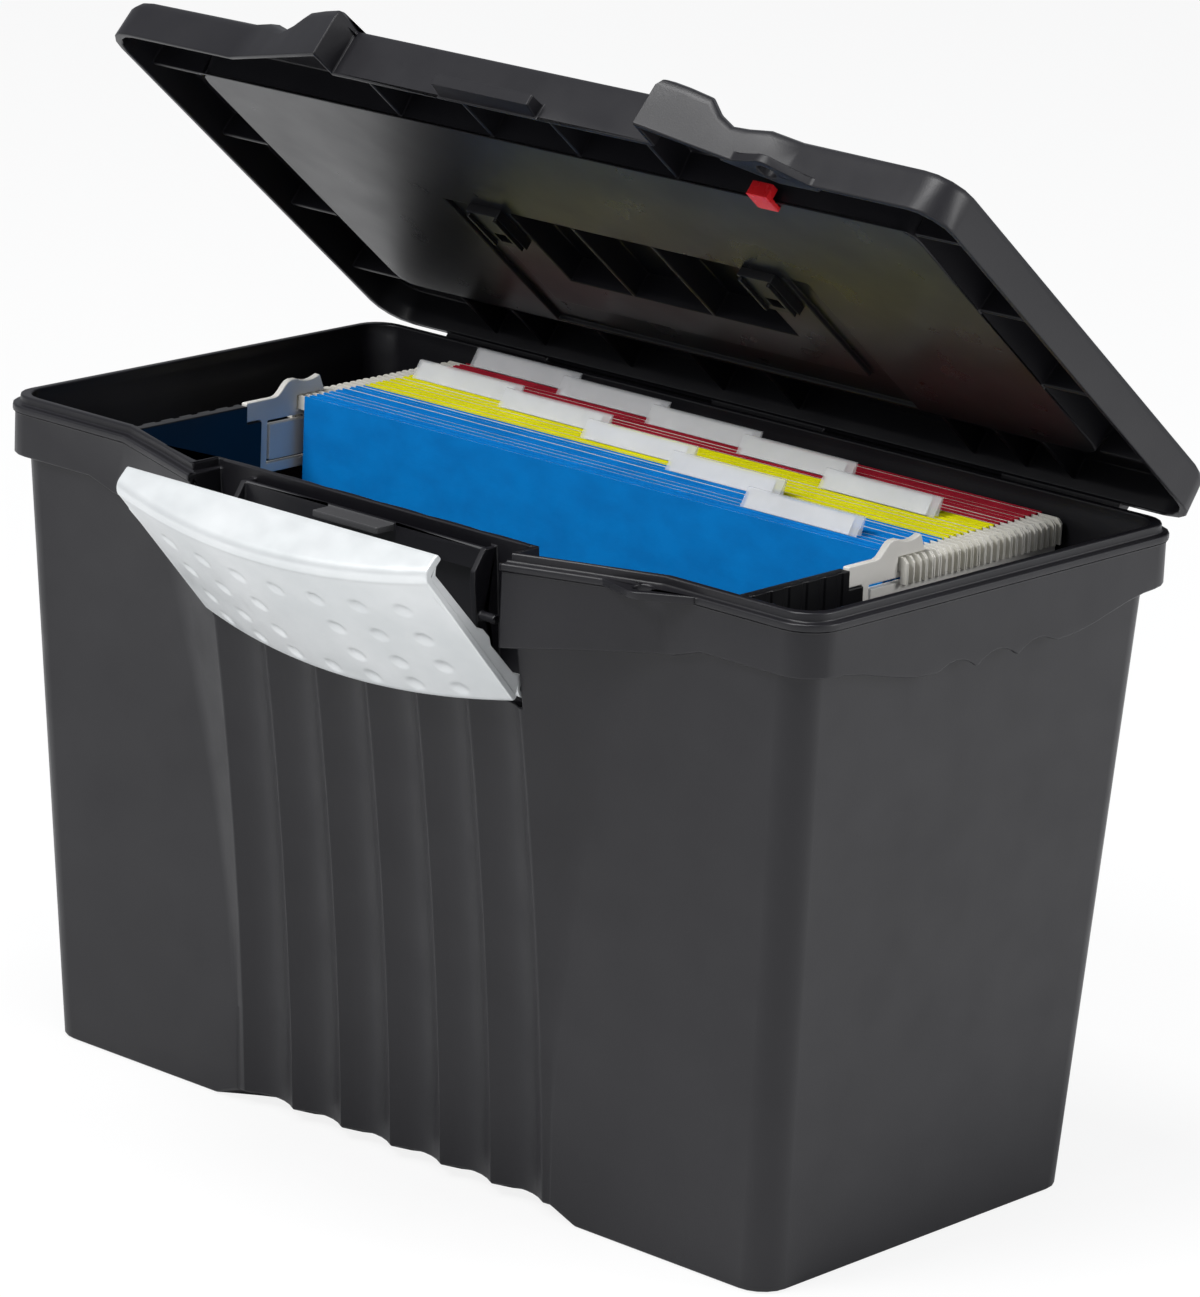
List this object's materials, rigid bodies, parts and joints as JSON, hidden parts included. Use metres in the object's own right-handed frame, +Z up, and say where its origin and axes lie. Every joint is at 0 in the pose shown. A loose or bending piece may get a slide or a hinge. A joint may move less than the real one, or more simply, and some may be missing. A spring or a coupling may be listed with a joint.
{
  "type": "portable file box",
  "caption": "Portable black plastic file box with an open hinged lid, a silver dimpled front latch, a folded carry handle, white file rails and hanging folders with index tabs.",
  "frame": {"origin": "centre of the tub's underside, on the surface that it stands on", "axes": "+X along the long side, to the right when facing the latch; -Y towards the latch; +Z up"},
  "size_m": [0.4292, 0.3008, 0.4339],
  "materials": {
    "charcoal_plastic": "fine textured polypropylene, charcoal black",
    "silver_plastic": "satin silver, dimpled",
    "white_plastic": "off-white moulded rail",
    "steel": "plain pin",
    "red_plastic": "red clip",
    "blue_card": "dyed folder card",
    "yellow_card": "dyed folder card",
    "red_card": "dyed folder card",
    "rod_cream": "coated folder rod",
    "clear_plastic": "clear tab sleeve",
    "label_paper": "blank white insert"
  },
  "bodies": {
    "box": {"tub": "charcoal_plastic", "partition_left": "charcoal_plastic", "partition_right": "charcoal_plastic", "file_rail_left": "white_plastic", "file_rail_right": "white_plastic", "latch_pin_left": "charcoal_plastic", "latch_pin_right": "charcoal_plastic", "hinge_pin_left": "steel", "hinge_pin_right": "steel", "blue_folders": "blue_card", "yellow_folders": "yellow_card", "red_folders": "red_card", "blue_rods": "rod_cream", "yellow_rods": "rod_cream", "red_rods": "rod_cream", "front_tabs": "clear_plastic", "back_tabs": "clear_plastic", "front_tab_labels": "label_paper", "back_tab_labels": "label_paper"},
    "latch": {"front_latch": "silver_plastic"},
    "lid_body": {"lid": "charcoal_plastic", "lid_marker": "red_plastic", "handle_pin_left": "steel", "handle_pin_right": "steel"},
    "handle": {"carry_handle": "charcoal_plastic"}
  },
  "joints": [
    {"name": "lid_hinge", "type": "hinge", "parent": "box", "child": "lid_body", "pos_m": [0, 0.114, 0.2585], "axis": [-1, 0, 0], "range_deg": [-40, 65]},
    {"name": "latch_pivot", "type": "hinge", "parent": "box", "child": "latch", "pos_m": [0, -0.11265, 0.213], "axis": [1, 0, 0], "range_deg": [-37, 30]},
    {"name": "handle_pivot", "type": "hinge", "parent": "lid_body", "child": "handle", "pos_m": [0, 0.03927, 0.34679], "axis": [1, 0, 0], "range_deg": [0, 90]}
  ]
}
